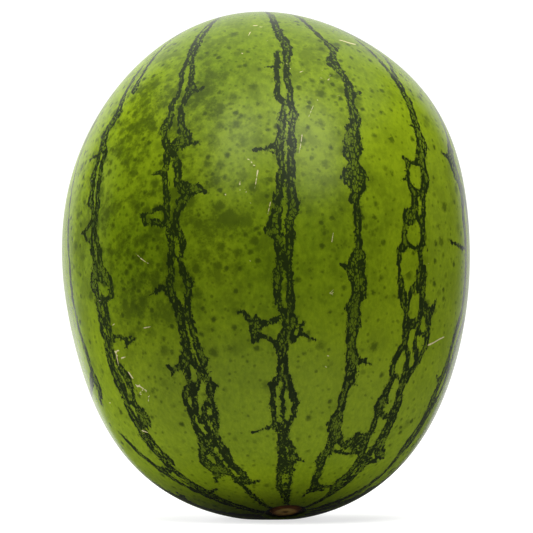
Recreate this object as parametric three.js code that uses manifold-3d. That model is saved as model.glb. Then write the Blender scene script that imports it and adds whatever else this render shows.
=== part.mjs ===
import * as THREE from "three";
import { mergeVertices } from "three/addons/utils/BufferGeometryUtils.js";
import Module from "manifold-3d";

// A whole striped watermelon, picked, standing upright on a small flat spot beside its blossom scar.
// Millimetres and degrees, +Z up, the front of the fruit towards -Y. The origin is on the surface
// that the fruit stands on, under the middle of the fruit.

// The body is an oval turned about a long axis that leans a little back and to the left.
const halfWidth = 111;
const halfLength = 138;
const ovalPower = 1.96; // of the oval's formula, where 2 is an ellipse
const longAxisLeansBack = 6;
const longAxisLeansLeft = 4.4;
const middleHeight = 140.8; // less than the body reaches down, so the floor takes off the flat spot

// Broad soft swellings make the shoulders and the blunt base, and fade out towards the front and
// the back. A turn is an angle in the front view, counted from the right-hand side upwards.
const swellings = [
  { rise: 7.7, turn: 42.5 },
  { rise: 1.8, turn: 157 },
  { rise: 8.5, turn: 240 },
  { rise: 5.3, turn: 299 },
];
const swellingSpread = 28;
const swellingFade = 3;

// The core joins the blossom scar to the stem. The rings of the skin are laid out about it.
const coreLeansBack = 14;
const coreLeansLeft = 4.5;

// Both ends as a distance from the core and a height above the body, from the middle outwards.
// The blossom scar is a sunken disc of cork with a raised ring, a dished middle and a groove round it.
const blossomScar = [
  [0, -0.7],
  [1.2, -0.8],
  [2.6, -1.5],
  [4.6, -1.3],
  [6.4, -0.7],
  [7.8, -0.9],
  [9.0, -1.9],
  [10.2, -1.2],
  [11.6, -0.3],
  [14, 0],
];
// The stem end is a dimple with the dry stub of the cut stalk standing in it.
const stemEnd = [
  [0, 2.9],
  [1.5, 3.3],
  [3.0, 3.6],
  [3.8, 3.4],
  [4.2, 2.2],
  [4.5, -1.2],
  [5.2, -3.3],
  [6.6, -4.2],
  [9, -4.1],
  [12, -3.2],
  [16, -1.7],
  [20, -0.6],
  [25, 0],
];
const stubRidges = 5;
const stubRidgeDepth = 0.08; // as a share of the stub's radius
const stubRadius = 5.2; // at its foot, where the ridges end

const sidesRound = 72;
const ringsAlong = 38; // between the two ends
const cornersStandOut = 1.0009; // as a share of the radius, since the flats between them cut in

const radians = THREE.MathUtils.degToRad;

// A unit vector that points up and leans back and to the left by these angles.
function leaningAxis(back, left) {
  return new THREE.Vector3(-Math.tan(radians(left)), Math.tan(radians(back)), 1).normalize();
}

const longAxis = leaningAxis(longAxisLeansBack, longAxisLeansLeft);
const core = leaningAxis(coreLeansBack, coreLeansLeft);
const towardsFront = new THREE.Vector3(0, -1, 0).projectOnPlane(core).normalize();
const towardsRight = new THREE.Vector3().crossVectors(towardsFront, core).negate();

const swellingWays = swellings.map(
  ({ turn }) => new THREE.Vector2(Math.cos(radians(turn)), Math.sin(radians(turn))),
);

// The body's radius in a direction from its middle: the oval, with the swellings added.
function bodyRadius(way) {
  const along = way.dot(longAxis);
  const across = Math.sqrt(Math.max(0, 1 - along * along));
  const oval =
    Math.abs(across / halfWidth) ** ovalPower + Math.abs(along / halfLength) ** ovalPower;
  const inFrontView = new THREE.Vector2(way.x, way.z);
  const flank = inFrontView.length() ** swellingFade;
  inFrontView.normalize();
  const width = 1 - Math.cos(radians(swellingSpread));
  return swellings.reduce(
    (sum, { rise }, i) =>
      sum + rise * flank * Math.exp((inFrontView.dot(swellingWays[i]) - 1) / width),
    oval ** (-1 / ovalPower),
  );
}

// The height that a list of points gives at a distance from the core, in straight steps.
function heightAt(points, distance) {
  const next = points.findIndex(([at]) => at > distance);
  if (next < 0) return 0;
  if (next === 0) return points[0][1];
  const [[near, low], [far, high]] = [points[next - 1], points[next]];
  return low + ((high - low) * (distance - near)) / (far - near);
}

// Latitudes in radians: a ring for each point of the two ends, and even rings between them.
function ringLatitudes() {
  const scarReach = bodyRadius(core.clone().negate());
  const stemReach = bodyRadius(core);
  const low = blossomScar.map(([at]) => -Math.acos(at / scarReach));
  const high = stemEnd.map(([at]) => Math.acos(at / stemReach)).reverse();
  const [start, end] = [low[low.length - 1], high[0]];
  const between = Array.from(
    { length: ringsAlong },
    (_, i) => start + ((end - start) * (i + 1)) / (ringsAlong + 1),
  );
  return { latitudes: [...low, ...between, ...high], scarReach, stemReach };
}

// The whole skin: a ball of rings about the core, each point moved out to the body's surface.
function fruitSkin() {
  const { latitudes, scarReach, stemReach } = ringLatitudes();
  const outline = latitudes.map((lat) => new THREE.Vector2(Math.cos(lat), Math.sin(lat)));
  outline[0].x = 0;
  outline[outline.length - 1].x = 0;
  const ball = new THREE.LatheGeometry(outline, sidesRound);
  ball.deleteAttribute("normal");
  ball.deleteAttribute("uv");
  const skin = mergeVertices(ball, 1e-5);
  const position = skin.getAttribute("position");
  const way = new THREE.Vector3();
  for (let i = 0; i < position.count; i++) {
    const [x, y, z] = [position.getX(i), position.getY(i), position.getZ(i)];
    const fromCore = Math.hypot(x, z);
    const longitude = Math.atan2(x, z);
    const onStem = y > 0;
    const distance = fromCore * (onStem ? stemReach : scarReach);
    const ridge =
      onStem && distance < stubRadius ? 1 + stubRidgeDepth * Math.cos(stubRidges * longitude) : 1;
    way
      .copy(core)
      .multiplyScalar(y)
      .addScaledVector(towardsRight, x * ridge)
      .addScaledVector(towardsFront, z * ridge)
      .normalize();
    const relief = heightAt(onStem ? stemEnd : blossomScar, distance);
    const reach = cornersStandOut * (bodyRadius(way) + relief);
    position.setXYZ(i, way.x * reach, way.y * reach, way.z * reach + middleHeight);
  }
  return skin;
}

const library = await Module();
library.setup();

function toSolid(geometry) {
  const merged = mergeVertices(
    new THREE.BufferGeometry()
      .setAttribute("position", geometry.getAttribute("position"))
      .setIndex(geometry.index),
    1e-4,
  );
  return new library.Manifold(
    new library.Mesh({
      numProp: 3,
      vertProperties: new Float32Array(merged.getAttribute("position").array),
      triVerts: new Uint32Array(merged.index.array),
    }),
  );
}

function toGeometry(solid) {
  const { vertProperties, triVerts } = solid.getMesh();
  const geometry = new THREE.BufferGeometry()
    .setAttribute("position", new THREE.BufferAttribute(vertProperties, 3))
    .setIndex(new THREE.BufferAttribute(triVerts, 1));
  geometry.computeVertexNormals();
  return geometry;
}

// The floor takes off what reaches below it, which leaves the flat spot that the fruit stands on.
function standingFruit() {
  const floorSize = 4 * halfLength;
  const floor = new THREE.BoxGeometry(floorSize, floorSize, halfLength);
  floor.translate(0, 0, -halfLength / 2);
  const geometry = toGeometry(toSolid(fruitSkin()).subtract(toSolid(floor)));
  geometry.computeBoundingBox();
  const middle = geometry.boundingBox.getCenter(new THREE.Vector3());
  return geometry.translate(-middle.x, -middle.y, 0);
}

const rind = new THREE.MeshStandardMaterial({ color: 0x6f8c1e, roughness: 0.35, metalness: 0 });

const watermelon = new THREE.Mesh(standingFruit(), rind);
watermelon.name = "watermelon";

const part = new THREE.Group();
part.add(watermelon);

export default part;
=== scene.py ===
import math
import bpy
import numpy as np
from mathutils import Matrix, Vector


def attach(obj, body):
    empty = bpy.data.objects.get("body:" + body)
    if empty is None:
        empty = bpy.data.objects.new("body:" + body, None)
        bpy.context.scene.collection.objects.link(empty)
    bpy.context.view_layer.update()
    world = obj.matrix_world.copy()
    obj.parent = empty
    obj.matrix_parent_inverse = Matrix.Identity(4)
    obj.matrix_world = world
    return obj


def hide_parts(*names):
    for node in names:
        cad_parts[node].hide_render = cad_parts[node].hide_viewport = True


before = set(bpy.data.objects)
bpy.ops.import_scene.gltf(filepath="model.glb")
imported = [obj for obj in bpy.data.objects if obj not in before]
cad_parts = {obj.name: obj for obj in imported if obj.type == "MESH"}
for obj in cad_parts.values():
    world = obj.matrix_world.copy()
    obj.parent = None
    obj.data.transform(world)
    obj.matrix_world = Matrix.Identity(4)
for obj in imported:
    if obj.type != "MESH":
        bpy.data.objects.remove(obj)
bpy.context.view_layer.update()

# A whole striped watermelon that stands upright beside its blossom scar. Sizes are in millimetres and
# degrees until the mesh is made. Latitude runs along the core, from -90 at the blossom scar to 90 at
# the stem. Longitude is 0 at the front and grows to the right as seen from there.

body = {
    "halfWidth": 111.0,
    "halfLength": 138.0,
    "ovalPower": 1.96,
    "longAxisLeansBack": 6.0,
    "longAxisLeansLeft": 4.4,
    "coreLeansBack": 14.0,
    "coreLeansLeft": 4.5,
    "middleHeight": 140.8,
    "swellings": [(7.7, 42.5), (1.8, 157.0), (8.5, 240.0), (5.3, 299.0)],  # rise, turn in the front view
    "swellingSpread": 28.0,
    "swellingFade": 3.0,
    # both ends: distance from the core, height above the body
    "blossomScar": [(0, -0.7), (1.2, -0.8), (2.6, -1.5), (4.6, -1.3), (6.4, -0.7), (7.8, -0.9),
                    (9.0, -1.9), (10.2, -1.2), (11.6, -0.3), (14, 0)],
    "stemEnd": [(0, 2.9), (1.5, 3.3), (3.0, 3.6), (3.8, 3.4), (4.2, 2.2), (4.5, -1.2), (5.2, -3.3),
                (6.6, -4.2), (9, -4.1), (12, -3.2), (16, -1.7), (20, -0.6), (25, 0)],
    "cornerRound": 0.25,  # either way of a corner of both ends
    "stubRidges": 5,
    "stubRidgeDepth": 0.08,
    "stubRadius": 5.2,
    "columns": 376,
    "rows": 262,
    "endRowSpacing": 0.7,
    "stubRows": [3.3, 3.7, 3.9, 4.05, 4.3, 4.4, 4.5, 4.7, 5.1],  # distances from the core
}


# A unit vector that points up and leans back and to the left by these angles.
def leaningAxis(back, left):
    way = np.array([-math.tan(math.radians(left)), math.tan(math.radians(back)), 1.0])
    return way / np.linalg.norm(way)


longAxis = leaningAxis(body["longAxisLeansBack"], body["longAxisLeansLeft"])
core = leaningAxis(body["coreLeansBack"], body["coreLeansLeft"])
towardsFront = np.array([0.0, -1.0, 0.0]) + core[1] * core
towardsFront /= np.linalg.norm(towardsFront)
towardsRight = -np.cross(towardsFront, core)


# Directions square to the core: sin(lon) right + cos(lon) front.
def outwards(lon):
    lon = np.radians(lon)[..., None]
    return np.sin(lon) * towardsRight + np.cos(lon) * towardsFront


# Directions from the body's middle: cos(lat) outwards(lon) + sin(lat) core.
def directions(lat, lon):
    lat = np.radians(lat)[..., None]
    return np.cos(lat) * outwards(lon) + np.sin(lat) * core


# The body's radius: an oval of power n, (|across / halfWidth|^n + |along / halfLength|^n)^(-1/n), and
# for each swelling rise (1 - y^2)^(fade/2) exp((cos(angle from it in the front view) - 1) / width).
def bodyRadius(way):
    along = way @ longAxis
    across = np.sqrt(np.clip(1 - along ** 2, 0, 1))
    n = body["ovalPower"]
    radius = (across / body["halfWidth"]) ** n + np.abs(along / body["halfLength"]) ** n
    radius = radius ** (-1 / n)
    flank = np.sqrt(np.clip(1 - way[..., 1] ** 2, 1e-9, 1))
    width = 1 - math.cos(math.radians(body["swellingSpread"]))
    for rise, turn in body["swellings"]:
        turn = math.radians(turn)
        towards = (way[..., 0] * math.cos(turn) + way[..., 2] * math.sin(turn)) / flank
        radius = radius + rise * flank ** body["swellingFade"] * np.exp((towards - 1) / width)
    return radius


# The height that a list of points gives at a distance from the core, averaged over a short way on both
# sides so that its corners are round.
def endHeight(points, distance):
    at, height = np.array(points, float).T
    near = np.linspace(-body["cornerRound"], body["cornerRound"], 7)
    return sum(np.interp(np.abs(distance + step), at, height, right=0) for step in near) / len(near)


# Latitudes of the rows: small steps of distance from the core over both ends, with closer ones where
# the stub is steep, and even angles between.
def rowLatitudes():
    reach = [bodyRadius(-core), bodyRadius(core)]
    edge = [body["blossomScar"][-1][0], body["stemEnd"][-1][0]]
    ends = [np.arange(body["endRowSpacing"], e + 1e-6, body["endRowSpacing"]) for e in edge]
    ends[1] = np.sort(np.concatenate([ends[1], body["stubRows"]]))
    low = -np.degrees(np.arccos(ends[0] / reach[0]))
    high = np.degrees(np.arccos(ends[1] / reach[1]))[::-1]
    middle = np.linspace(low[-1], high[0], body["rows"] - len(low) - len(high) + 2)[1:-1]
    return np.concatenate([low, middle, high])


# The skin at these latitudes and longitudes, from the body's middle, with the relief of both ends.
def skinPoints(lat, lon):
    onStem = lat > 0
    poleReach = np.where(onStem, bodyRadius(core), bodyRadius(-core))
    distance = np.cos(np.radians(lat)) * poleReach
    stemHeight, scarHeight = (endHeight(body[end], distance) for end in ("stemEnd", "blossomScar"))
    relief = np.where(onStem, stemHeight, scarHeight)
    ridge = 1 + body["stubRidgeDepth"] * np.cos(body["stubRidges"] * np.radians(lon))
    ridge = np.where(onStem & (distance < body["stubRadius"]), ridge, 1.0)
    fromCore = np.cos(np.radians(lat)) * ridge
    way = fromCore[..., None] * outwards(lon) + np.sin(np.radians(lat))[..., None] * core
    way /= np.linalg.norm(way, axis=-1, keepdims=True)
    return way * (bodyRadius(way) + relief)[..., None]


rowLat = rowLatitudes()
columnLon = np.linspace(-180, 180, body["columns"], endpoint=False)
latGrid, lonGrid = np.meshgrid(rowLat, columnLon, indexing="ij")
pointLat = np.concatenate([latGrid.ravel(), [-90.0, 90.0]])
pointLon = np.concatenate([lonGrid.ravel(), [0.0, 0.0]])
points = skinPoints(pointLat, pointLon)
print("skin points", len(points))

# Stripes. A strand runs along the fruit: latitude, longitude of its left edge, of its right edge.
# A spur or a link is a thin line: latitude and longitude of its points, then its half width at both
# ends. The strands of one layer stay clear of each other, so each stripe uses several layers.
strands = {
    "a": [
        (1, [(44, -70.6, -69.4), (38, -72, -68), (33, -72, -70.6), (24, -71.8, -71), (12, -72, -70.6),
             (5, -73, -71), (0, -72.4, -70.6), (-4, -74, -71.5), (-10, -75, -73), (-16, -75.4, -73.6),
             (-20, -76.4, -73.8), (-26, -76.8, -72.6), (-29, -76.8, -74), (-32, -78.5, -73),
             (-35, -78.8, -72.8), (-37, -78, -76)]),
        (1, [(-46, -80.2, -78.6), (-50, -79, -76), (-54, -78, -74.4), (-57, -76.5, -72.6),
             (-60, -76, -71.5), (-63, -75.8, -71.6), (-66, -75, -71), (-69, -74.5, -70.4), (-73, -75, -69),
             (-77, -76, -71), (-81, -78, -72)]),
    ],
    "b": [
        (1, [(66, -46, -44.6), (55, -46.4, -45), (48, -46, -44.8), (44.5, -47.2, -43.8), (43, -46, -44.4)]),
        (2, [(54, -51, -50), (50, -51.5, -50), (45, -51.5, -50), (40, -51.6, -49.4), (37, -51, -47.8),
             (35, -53.5, -49.4), (33, -55, -51.6), (30, -54.6, -51.4), (28, -54.2, -51.4),
             (26, -51.8, -49.8), (24, -52, -50.4), (22, -52.6, -51), (20, -52.6, -50.2), (17, -52.8, -51.2),
             (14, -53, -51.4), (11, -52.8, -51), (8, -54, -51.8), (5, -54.2, -52.8), (2, -54, -52.4),
             (-2, -53.6, -51.6), (-6, -54.4, -51.6), (-9, -54, -50), (-11, -51.6, -49.2),
             (-13, -50.4, -48.9), (-15, -52, -49.8)]),
        (1, [(30, -54.4, -53.6), (27, -54.6, -53), (23, -55, -53.6), (21, -56.4, -54), (19.5, -57, -54),
             (17, -55.4, -53.8), (14.5, -56.6, -54.4), (13, -57.4, -54.4), (11, -55.2, -53.8),
             (8, -55, -53.2), (6, -54.8, -54), (2, -56.2, -55), (-1, -56.4, -55), (-4, -56, -54.2),
             (-7, -57.6, -54.4), (-10, -59.6, -55.6), (-13, -58.6, -56), (-16, -59, -56.4),
             (-20, -59.6, -57.4), (-23, -60.4, -58.6), (-26, -60.2, -58), (-29, -62, -59),
             (-33, -62.4, -60), (-37, -63, -60.2), (-40, -62.6, -60.4), (-44, -64.2, -61.2),
             (-48, -64.6, -61.6), (-51, -66.2, -63), (-55, -66.4, -63.6), (-58, -66.6, -63.4),
             (-61, -68, -64), (-65, -67.6, -64.4), (-68, -68.6, -63.8), (-71, -69.4, -64)]),
        (3, [(-14, -55.6, -54.4), (-17, -55.6, -53.6), (-20, -56, -54), (-23, -57.4, -55), (-26, -58, -56),
             (-29, -58.4, -57), (-32, -58.2, -56.8), (-34, -58, -55.6), (-36, -57.6, -54),
             (-38, -56.8, -54.2), (-41, -57, -55.6), (-43.5, -59, -56.8), (-45.5, -60, -55.8),
             (-47.2, -60.6, -54.4), (-49, -62, -60), (-53, -62.4, -60.6), (-57, -62.6, -60.4),
             (-59.3, -64, -60)]),
        (4, [(-34, -60.4, -58.6), (-36.5, -60.6, -58.4), (-39, -60, -58.6), (-42, -60.6, -59.4)]),
    ],
    "c": [
        (1, [(70, -21.6, -20.8), (60, -24.6, -23.6), (54, -24.8, -23.4), (48, -25, -23.6),
             (45, -25.8, -24.2), (41, -24.6, -23.4), (37, -25, -24), (35, -26.8, -24.8), (31, -27, -25.2),
             (29, -28.6, -25.4), (27, -29.4, -26.4), (25, -28.4, -26.6), (22, -27, -25.2),
             (18, -27.2, -25.6), (14, -27.6, -26), (10, -27.4, -25.8), (6, -27.4, -25.6), (2, -27.6, -25.8),
             (-2, -27.4, -25.4), (-6, -27.2, -25.4), (-10, -28.2, -26.4), (-14, -28.8, -26.8),
             (-17, -30.6, -28), (-20, -29.8, -27.6), (-24, -29, -26.2), (-29, -29.2, -26.6),
             (-34, -29.4, -26.6), (-36.5, -31.6, -27.4), (-39, -31.8, -29.8), (-42, -31.8, -30),
             (-44, -33.6, -29.6), (-45.4, -35.8, -33.4), (-48, -36, -34.4), (-52, -36.8, -34.8),
             (-55, -38, -35.4), (-58, -39, -36.2), (-60.5, -42.4, -38), (-62, -45, -41.4),
             (-64, -46, -42)]),
        (2, [(70, -20.6, -19.8), (60, -21.8, -20), (54, -22.2, -20.8), (48, -22.6, -21.2),
             (45, -21.8, -20.2), (41, -21.4, -19.6), (38.5, -21.4, -18.4), (36.5, -22.2, -20),
             (33, -23.2, -21.8), (29, -23.4, -21.6), (26, -23.2, -20.6), (23.4, -23, -18.8),
             (22, -25, -21.8), (20, -25.2, -23.8), (17, -24.4, -22), (14, -24, -21.8), (11, -24, -22),
             (9, -23, -19.6), (7, -22, -18.8), (5, -23.8, -21), (2, -24.8, -23.4), (-1, -25, -23.4),
             (-4, -24.2, -22.4), (-6, -23.8, -21.8), (-8, -24.4, -22.8), (-11, -25.2, -23.8),
             (-14, -25, -23), (-16.5, -24.6, -21.8), (-18.5, -24.6, -22.4), (-21, -25, -23.4),
             (-26, -26, -24), (-31, -25.6, -23.8), (-35, -25.6, -23.2), (-37.5, -24.8, -22),
             (-40, -25, -23.4), (-43, -24.8, -22.8), (-45.4, -25.4, -22.6), (-48, -26.6, -24.4),
             (-51, -26.4, -24), (-54, -28.4, -25.6), (-57, -30, -28), (-60, -30.6, -28.4),
             (-62.5, -30.4, -27.4), (-65, -30.8, -28.8), (-68, -30.4, -28), (-70.5, -31, -26.4),
             (-72.5, -32, -26)]),
        (3, [(-37, -28.4, -26.6), (-40, -26.8, -25.4), (-42.5, -27.8, -26), (-44, -30, -28),
             (-46, -31.6, -30), (-48, -33.4, -31.2), (-51, -34, -32.4), (-54, -32.6, -30.8),
             (-57, -33, -31), (-60, -32.8, -31), (-64, -33, -31.2), (-68, -32, -30.6)]),
        (4, [(-56, -36.8, -34.6), (-59, -36.4, -34.4), (-62, -36.6, -35.4), (-65, -37.6, -35),
             (-67, -42, -35), (-69, -37.4, -34.4), (-73, -36.8, -33.6), (-76, -37.6, -33.6),
             (-79, -40, -34), (-82, -42, -36)]),
    ],
    "d": [
        (1, [(48, 9.7, 10.7), (45, 8.8, 10), (43, 7.8, 9.5), (40, 7.3, 8.6), (37, 7.5, 8.9), (35, 6.9, 8.4),
             (33.5, 6.2, 7.9), (32, 7.2, 8.8), (30.5, 8.7, 10), (28, 7.6, 9.2), (25, 6.8, 8.6),
             (22, 6.2, 8), (20, 5.3, 8), (18, 5, 7.5), (15, 5.5, 7), (12, 5.5, 7.1), (9, 4.7, 6.6),
             (7, 4.7, 6.3), (4, 3.7, 5.6), (2, 3.4, 5.2), (0, 3.8, 5.4), (-2, 2.3, 4.9), (-4, 1, 4.7),
             (-5.5, 0.5, 4.9), (-7, 2.7, 5.1), (-10, 2.8, 5.1), (-13, 3.4, 5.3), (-17, 1.9, 4.5),
             (-20, 1.7, 3.8), (-23, 1.2, 3.2), (-26, 2.1, 4.1), (-29, 3.4, 4.9), (-31, 3.9, 5),
             (-33, 3.2, 4.8), (-35, 1.4, 4.7), (-37, 0.6, 4), (-39, 1.4, 3.2), (-42, 1.2, 2.5),
             (-44, 1.3, 3.2), (-45.5, -0.2, 1.6), (-47, -2.1, -0.2), (-50, -2.4, -0.6), (-53, -3, -0.9),
             (-56, -3, -0.6), (-58, -2.4, 0.2), (-60, -0.6, 1.1), (-64, -1, 1), (-67, -1.5, 0.9),
             (-69, -2.4, 0.6), (-71, -4, -0.4), (-73, -4.2, -0.8), (-75, -6.6, -1.8), (-77, -7, -2),
             (-79, -4.4, -0.6), (-81, -4, 1)]),
        (2, [(74, 15.5, 17), (70, 13.8, 16.4), (64, 12.6, 15.6), (60, 11.5, 15), (55, 11.4, 14.6),
             (52, 12.3, 15.8), (50, 12.2, 15.8), (47, 11.9, 15), (45, 11.6, 14), (43, 11.2, 13),
             (40, 10.7, 12.4), (37, 10.4, 12.3), (34, 10.8, 12.1), (31, 10.4, 11.9), (29, 10.4, 11.9),
             (27, 10.6, 12.8), (25, 9.9, 11.8), (22, 9.2, 10.8), (20, 8.9, 10.9), (17, 8.9, 10.7),
             (15, 8.2, 10.1), (12, 8.2, 9.9), (9, 7.4, 9.4), (7, 7.2, 9.2), (4, 6.9, 9.7), (2, 6.9, 10.3),
             (0, 6.9, 9.7), (-2, 6.4, 8.9), (-4, 5.9, 8.3), (-7, 5.9, 8.1), (-10, 5.9, 7.9),
             (-13, 5.2, 7.3), (-17, 5.4, 7.3), (-20, 5.4, 7.3), (-24, 5.3, 7.1), (-27, 5.3, 7.3),
             (-30, 5.3, 7.8), (-31.5, 5.2, 7.6), (-34, 4.4, 6.1), (-36, 3.7, 5.3), (-39, 2.9, 4.3),
             (-42, 3.4, 4.9), (-44, 3.2, 4.9), (-46, 4.4, 5.9), (-48, 4.9, 6.9), (-50, 5.5, 7.9),
             (-51.5, 6.1, 8.6), (-53, 5.9, 7.7), (-55, 5.9, 7.8), (-57, 4.1, 6.1), (-59, 3.1, 4.7),
             (-61, 2.7, 4.1), (-63, 3.2, 5.6), (-64.5, 3.9, 8), (-66.5, 4.2, 8.2), (-68, 4.4, 9),
             (-70, 3.5, 7.6), (-72, 4.7, 7.4), (-74, 4.9, 7.4), (-76, 3.9, 6.4), (-78, 3.9, 6.4),
             (-79.5, 2, 6.6), (-82, 0, 8), (-84.4, 0, 7)]),
        (3, [(-44, 2.6, 4), (-47, 2.7, 3.9), (-50, 1.3, 2.7), (-53, 1.4, 2.7), (-56, 1.7, 3.1),
             (-59, 1, 2.9), (-62, 0.7, 3.5), (-65, 0.5, 2.9), (-68, 0.5, 3.1), (-70, 0, 3.6),
             (-71.6, 0, 5)]),
    ],
    "e": [
        (1, [(74, 34, 35.4), (66, 31, 33), (60, 29.2, 31), (55, 29.8, 31.4), (52, 30.6, 32.4),
             (49.6, 30.6, 34.4), (48, 30.4, 32.4), (46, 29.2, 31.6), (44.4, 26.8, 31.2), (42, 27.8, 31.2),
             (40, 29.2, 31.6), (37, 30, 32.2), (34.6, 29.8, 32), (33, 28.8, 31.8), (30, 28.8, 30.8),
             (27, 28.4, 31.6), (24, 27.8, 30.8), (22, 26, 30), (20, 25.2, 30), (17, 24.7, 29.9),
             (15.4, 24, 28.6), (13, 25.2, 28.2), (11, 24.2, 28.8), (9, 23, 30), (7, 24.6, 29.8),
             (5, 25.6, 28.2), (2.6, 24.8, 27.2), (0, 25.9, 27.8), (-3, 25.6, 27.3), (-6, 26, 27.5),
             (-8, 26, 27.4), (-10.5, 25.4, 27.6), (-13, 25, 29), (-15, 23.4, 28.7), (-17.5, 23.2, 28.6),
             (-20, 25, 29.8), (-23, 25.2, 29.8), (-25, 24.4, 27.9), (-27, 23.3, 28), (-29, 24.3, 28.6),
             (-32, 24.3, 28.6), (-35, 24.3, 27.7), (-38, 25, 28.2), (-40.5, 25, 30.2), (-43, 25.4, 29.9),
             (-46, 25.9, 29.8), (-48, 25.8, 28), (-51, 25, 28.2), (-54, 25.4, 28.2), (-56, 23.4, 29),
             (-58, 23.4, 29.6), (-61, 24.8, 31), (-63.5, 24.8, 29.6), (-66, 23.8, 28.8),
             (-68.4, 21.8, 28.2), (-70.5, 24.6, 29), (-72.5, 24.4, 30.6), (-75, 26, 31), (-77, 27, 36),
             (-79, 26.6, 30.4), (-81.2, 25, 26)]),
    ],
    "f": [
        (1, [(56, 52, 53), (45, 51.9, 53.2), (41, 51.8, 53.4), (37, 51.6, 53), (33, 51.4, 54.6),
             (30, 51, 53.6), (26, 50.4, 53.4), (23.6, 50.2, 53), (20.4, 50.4, 54.2), (18, 49, 52.8),
             (15.6, 48.2, 52.2), (13, 49.4, 52), (11, 49.6, 52.8), (8.6, 49.6, 51.8), (6.4, 48.2, 50.8),
             (4, 48.8, 50.3), (1, 48.8, 50.3), (-1, 47.6, 50.2), (-4, 48.5, 50.2), (-7, 48.6, 50),
             (-10, 47.4, 49.2), (-13, 48.4, 50.2), (-16, 47.6, 50), (-19, 47.3, 49.4), (-21, 45.4, 47.4),
             (-23.5, 44.8, 46), (-27, 44.7, 46.2), (-29.4, 45, 47.4), (-32, 46, 48.4), (-35, 46, 48.8),
             (-37, 45, 46.8), (-40, 43.6, 45.4), (-43, 44.2, 46.4), (-46, 44.8, 47.2), (-49, 43.8, 46.8),
             (-51, 42.4, 46.6), (-54, 44, 47), (-57, 45, 47.4), (-60, 44.4, 48.4), (-62.6, 45.4, 49.6),
             (-65, 47.6, 51.4), (-68, 49.6, 54), (-71, 49.4, 54.8), (-73.4, 47.4, 55.4),
             (-75.4, 48.6, 60)]),
        (2, [(60, 55, 56), (50, 60, 61), (44, 55.4, 56.6), (41, 53.2, 54.4), (37, 53.4, 54.6)]),
        (2, [(14.4, 43.9, 45.8), (12.6, 43.9, 44.9), (9.6, 43.6, 44.4), (7.6, 44, 45.4), (5.8, 44.8, 47.8),
             (3, 44.8, 46.4), (0.6, 44.6, 46.8), (-0.8, 41.4, 46), (-2, 41.4, 43.2), (-6, 41.2, 42.8),
             (-8.4, 40.8, 43.8), (-10.6, 39.6, 41.6), (-14, 39.9, 40.5), (-17, 40.2, 41.8), (-20, 41, 43.2),
             (-22.6, 41.6, 44.6), (-25.4, 43, 45.4)]),
        (3, [(-14, 50.2, 51.4), (-17, 50.6, 52.4), (-19.6, 50, 52.2), (-22, 50.8, 52.4),
             (-24.6, 51.6, 53.8), (-26, 53.4, 57.2), (-28, 55.6, 58), (-31, 56.6, 58.4), (-34, 57.4, 59.4),
             (-37, 56, 58.4), (-40, 54.4, 56.6), (-43, 52.6, 54.8), (-46, 51.8, 53.8), (-49, 52.4, 55),
             (-51.4, 53.4, 56.4), (-54, 54.6, 57.2), (-57, 55.2, 58), (-60, 56.6, 59.2),
             (-61.8, 58.6, 61.6), (-63.2, 61, 66), (-63.6, 66, 69)]),
        (4, [(-21.6, 50.2, 51.2), (-24, 50.4, 51.4), (-27, 50.8, 52.4), (-30, 51.4, 52.8),
             (-33, 51.4, 52.6), (-36, 52.2, 54.2), (-38, 54, 55.6)]),
        (2, [(-29.6, 47, 51), (-31, 48, 49)]),
        (2, [(-36, 48.2, 50), (-38.4, 49.8, 51.6), (-42, 50.4, 52), (-45, 50.6, 52.2), (-48, 50.8, 52.4),
             (-50.4, 51.6, 53.6), (-53, 52, 54), (-56, 52.8, 55), (-59, 53.2, 55.4), (-62, 53, 54.8),
             (-64.4, 51.8, 56), (-67, 54, 60.6), (-70, 57.6, 60.8), (-73, 57.4, 61.4), (-76, 52, 61.6),
             (-79, 56, 62), (-83, 56, 63)]),
    ],
    "g": [
        (1, [(60, 78, 79), (40, 74, 75), (27, 71, 72.4), (22, 68.4, 72.2), (19, 66, 71.4), (16, 68, 73),
             (14, 70.6, 74.6), (10, 73, 76), (5, 72.6, 75.2), (1, 73.8, 76.2), (-3, 75, 77.6),
             (-7, 76, 78.4), (-12, 77.2, 79.4), (-17, 78.2, 80.8), (-21, 78.4, 80.6), (-25, 76.8, 79),
             (-29, 75.6, 77.6), (-34, 76, 78.4), (-38, 76, 79), (-42, 75.8, 78.4), (-46.4, 75.6, 79.4),
             (-50, 77, 80), (-54, 77.4, 80.4), (-57, 76.6, 81.4), (-59.4, 77, 82), (-62, 79.6, 82.6),
             (-66, 83, 86), (-71, 84, 89), (-76, 84, 90), (-82, 82, 92)]),
        (2, [(14, 74.6, 76), (11, 77, 79.4), (7, 80, 82), (2, 82, 83.4)]),
        (2, [(-22, 86, 88), (-26, 82.4, 84.4), (-30, 80.8, 82.6), (-35, 80.8, 82.8), (-40, 81.4, 83.4),
             (-44, 81.2, 83), (-48, 80.4, 82.6), (-52, 80, 82.4), (-56, 80.6, 83.2)]),
    ],
}
fineStripes = {"a": 0.62}  # share of the width that is drawn
stopShort = ("e",)  # of the blossom scar, in a point

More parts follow.
